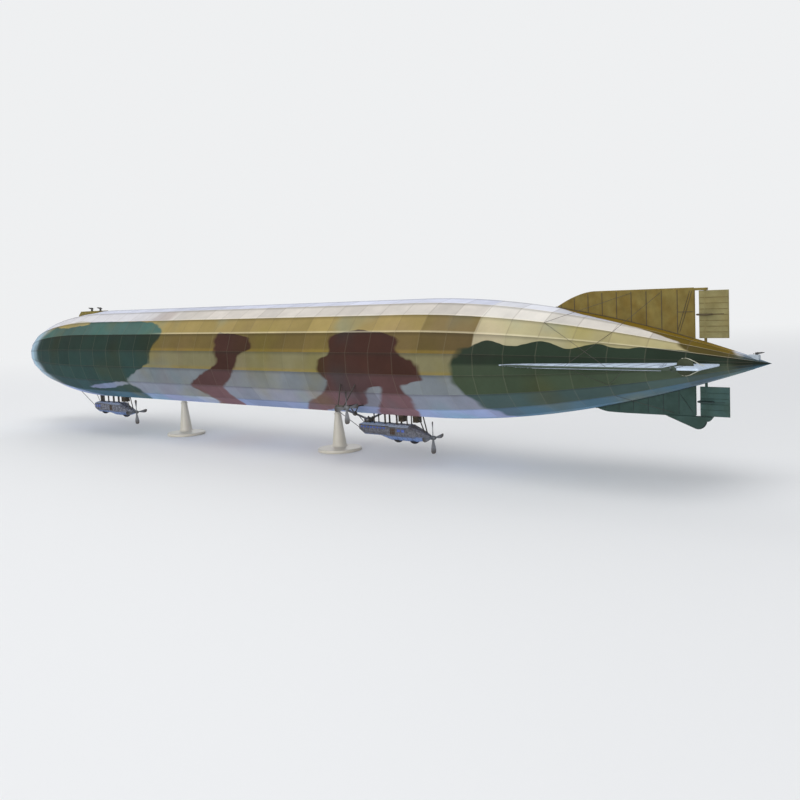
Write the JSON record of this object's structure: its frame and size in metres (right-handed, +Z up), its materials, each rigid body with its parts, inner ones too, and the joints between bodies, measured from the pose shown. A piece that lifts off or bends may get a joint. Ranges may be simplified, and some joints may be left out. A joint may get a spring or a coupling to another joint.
{
  "type": "airship model",
  "caption": "Rigid airship display model with a faceted hull, two gondolas, spinning propellers, hinged rudders and elevators, on two stands.",
  "frame": {"origin": "under the middle of the hull, on the table that the stands rest on", "axes": "+X from nose to tail, +Y to starboard, +Z up"},
  "size_m": [0.51, 0.077, 0.0769],
  "materials": {
    "hull_skin": "matt paint in soft-edged camouflage over moulded plastic",
    "bare_plastic": "bare moulded plastic",
    "ochre_sheet": "matt ochre paint",
    "green_sheet": "matt dark green paint",
    "pale_sheet": "matt pale grey paint",
    "horn_olive": "matt dark olive paint",
    "deck_ochre": "matt gold ochre paint",
    "gun_black": "satin black paint",
    "seat_grey": "matt pale grey paint",
    "gondola_grey": "matt grey paint",
    "roof_grey": "matt pale grey paint",
    "window_blue": "gloss blue paint",
    "door_dark": "matt dark paint",
    "strut_dark": "satin dark grey paint",
    "radiator_brown": "matt dark brown paint",
    "bumper_black": "matt black paint",
    "propeller_grey": "satin grey paint",
    "shaft_steel": "drawn wire",
    "stand_ivory": "satin moulded plastic"
  },
  "bodies": {
    "airship": {"hull_port": "hull_skin", "hull_starboard": "hull_skin", "hull_formers": "bare_plastic", "stand_formers": "bare_plastic", "gun_platform": "deck_ochre", "gun_pedestals": "gun_black", "tail_gun_seat": "seat_grey", "upper_fin": "ochre_sheet", "lower_fin": "green_sheet", "port_fin": "pale_sheet", "starboard_fin": "pale_sheet", "tail_skid": "green_sheet", "fwd_gondola_tub": "gondola_grey", "fwd_gondola_roof": "roof_grey", "fwd_gondola_tail": "gondola_grey", "fwd_gondola_glazing": "window_blue", "fwd_gondola_door": "door_dark", "fwd_gondola_struts": "strut_dark", "fwd_ladder_trunk": "strut_dark", "fwd_radiator": "radiator_brown", "fwd_bumpers": "bumper_black", "rear_gondola_tub": "gondola_grey", "rear_gondola_roof": "roof_grey", "rear_gondola_tail": "gondola_grey", "rear_gondola_glazing": "window_blue", "rear_gondola_door": "door_dark", "rear_gondola_struts": "strut_dark", "rear_radiators": "radiator_brown", "rear_bumpers": "bumper_black", "gear_tower": "strut_dark", "port_drive_shaft": "shaft_steel", "starboard_drive_shaft": "shaft_steel", "shaft_supports": "strut_dark", "port_outrigger": "strut_dark", "starboard_outrigger": "strut_dark", "front_stand": "stand_ivory", "rear_stand": "stand_ivory", "stay_wires": "shaft_steel"},
    "upper_rudder": {"upper_rudder": "ochre_sheet", "upper_rudder_horns": "ochre_sheet"},
    "lower_rudder": {"lower_rudder": "green_sheet", "lower_rudder_horns": "green_sheet"},
    "port_elevator": {"port_elevator": "pale_sheet", "port_elevator_horns": "horn_olive"},
    "starboard_elevator": {"starboard_elevator": "pale_sheet", "starboard_elevator_horns": "horn_olive"},
    "fwd_propeller": {"fwd_propeller": "propeller_grey", "fwd_propeller_shaft": "shaft_steel"},
    "rear_propeller": {"rear_propeller": "propeller_grey", "rear_propeller_shaft": "shaft_steel"},
    "port_propeller": {"port_propeller": "propeller_grey", "port_propeller_shaft": "shaft_steel"},
    "starboard_propeller": {"starboard_propeller": "propeller_grey", "starboard_propeller_shaft": "shaft_steel"},
    "front_gun": {"front_gun": "gun_black"},
    "rear_gun": {"rear_gun": "gun_black"},
    "tail_gun": {"tail_gun": "gun_black"}
  },
  "joints": [
    {"name": "upper_rudder_swing", "type": "hinge", "parent": "airship", "child": "upper_rudder", "pos_m": [0.2308, 0, 0.06515], "axis": [0, 0, 1], "range_deg": [-20, 20]},
    {"name": "lower_rudder_swing", "type": "hinge", "parent": "airship", "child": "lower_rudder", "pos_m": [0.2308, 0, 0.03315], "axis": [0, 0, 1], "range_deg": [-20, 20]},
    {"name": "port_elevator_tilt", "type": "hinge", "parent": "airship", "child": "port_elevator", "pos_m": [0.2308, -0.017, 0.04715], "axis": [0, 1, 0], "range_deg": [-20, 20]},
    {"name": "starboard_elevator_tilt", "type": "hinge", "parent": "airship", "child": "starboard_elevator", "pos_m": [0.2308, 0.017, 0.04715], "axis": [0, 1, 0], "range_deg": [-20, 20]},
    {"name": "fwd_propeller_spin", "type": "hinge", "parent": "airship", "child": "fwd_propeller", "pos_m": [-0.1422, 0, 0.0109], "axis": [1, 0, 0], "continuous": true},
    {"name": "rear_propeller_spin", "type": "hinge", "parent": "airship", "child": "rear_propeller", "pos_m": [0.0976, 0, 0.0104], "axis": [1, 0, 0], "continuous": true},
    {"name": "port_propeller_spin", "type": "hinge", "parent": "airship", "child": "port_propeller", "pos_m": [0.0734, -0.031, 0.02725], "axis": [1, 0, 0], "continuous": true},
    {"name": "starboard_propeller_spin", "type": "hinge", "parent": "airship", "child": "starboard_propeller", "pos_m": [0.0734, 0.031, 0.02725], "axis": [1, 0, 0], "continuous": true},
    {"name": "front_gun_traverse", "type": "hinge", "parent": "airship", "child": "front_gun", "pos_m": [-0.1825, 0, 0.07555], "axis": [0, 0, 1], "range_deg": [-120, 120]},
    {"name": "rear_gun_traverse", "type": "hinge", "parent": "airship", "child": "rear_gun", "pos_m": [-0.1725, 0, 0.07555], "axis": [0, 0, 1], "range_deg": [-120, 120]},
    {"name": "tail_gun_traverse", "type": "hinge", "parent": "airship", "child": "tail_gun", "pos_m": [0.2498, 0, 0.05015], "axis": [0, 0, 1], "range_deg": [-80, 80]}
  ],
  "couplings": [
    {"joint": "lower_rudder_swing", "follows": "upper_rudder_swing", "ratio": 1},
    {"joint": "starboard_elevator_tilt", "follows": "port_elevator_tilt", "ratio": 1}
  ]
}
